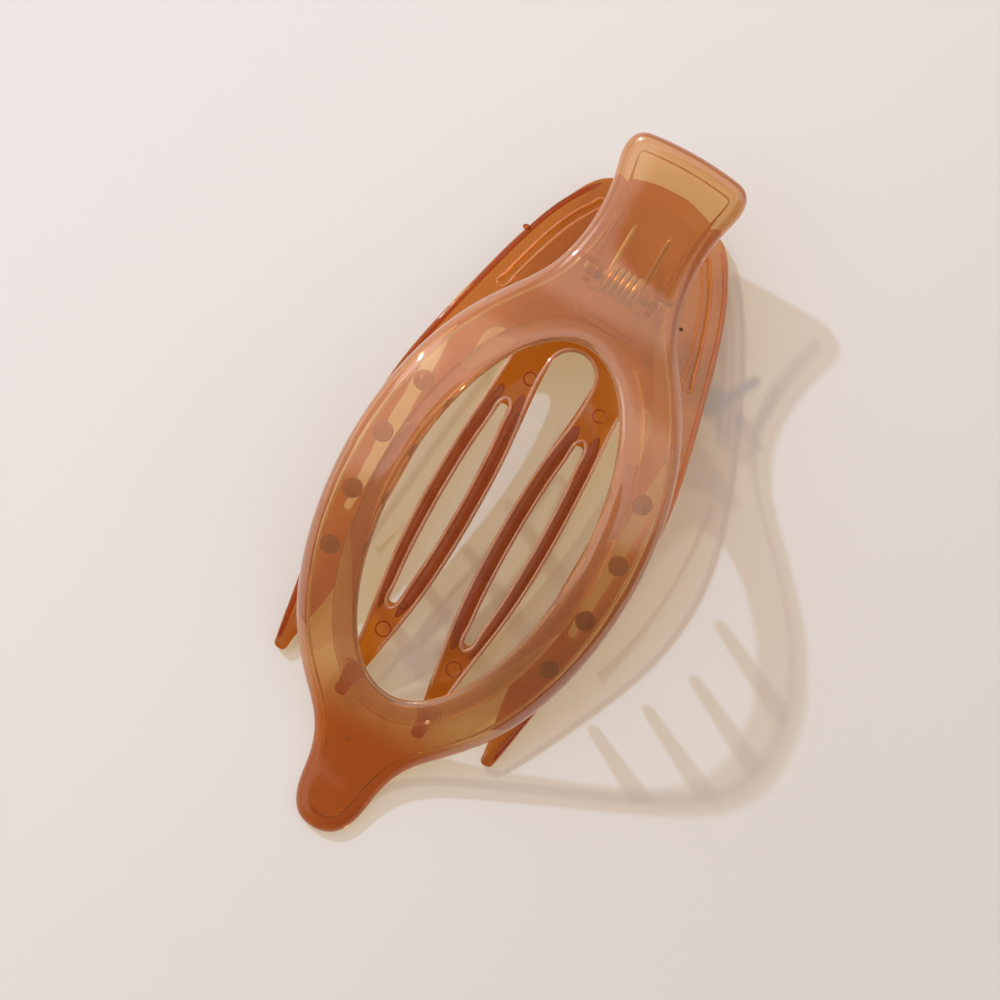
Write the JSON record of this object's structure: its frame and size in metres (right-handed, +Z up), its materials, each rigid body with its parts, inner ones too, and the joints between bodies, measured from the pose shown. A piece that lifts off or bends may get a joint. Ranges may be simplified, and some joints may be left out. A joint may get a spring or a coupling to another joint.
{
  "type": "hair clip",
  "caption": "Spring-hinged flat hair clip with an arched, pierced upper jaw, inner pegs, a thumb lever and a slotted comb-shaped lower jaw.",
  "frame": {"origin": "centre of the bounding box in plan, on the plane the clip rests on", "axes": "+Y along the clip from the nose to the thumb lever, +Z up from the table, +X across the clip"},
  "size_m": [0.0538, 0.13, 0.0314],
  "materials": {
    "upper_plastic": "glossy translucent amber moulding",
    "lower_plastic": "glossy translucent amber moulding",
    "pin_steel": "drawn wire",
    "spring_steel": "drawn spring wire"
  },
  "bodies": {
    "lower": {"lower_jaw": "lower_plastic", "hinge_pin": "pin_steel", "spring": "spring_steel"},
    "upper": {"upper_jaw": "upper_plastic"}
  },
  "joints": [
    {"name": "jaw_hinge", "type": "hinge", "parent": "lower", "child": "upper", "pos_m": [0, 0.0402, 0.0125], "axis": [-1, 0, 0], "range_deg": [0, 32], "stiffness_Nm_per_rad": 0.15, "springref_deg": -22.92, "deforming": ["spring"]}
  ]
}
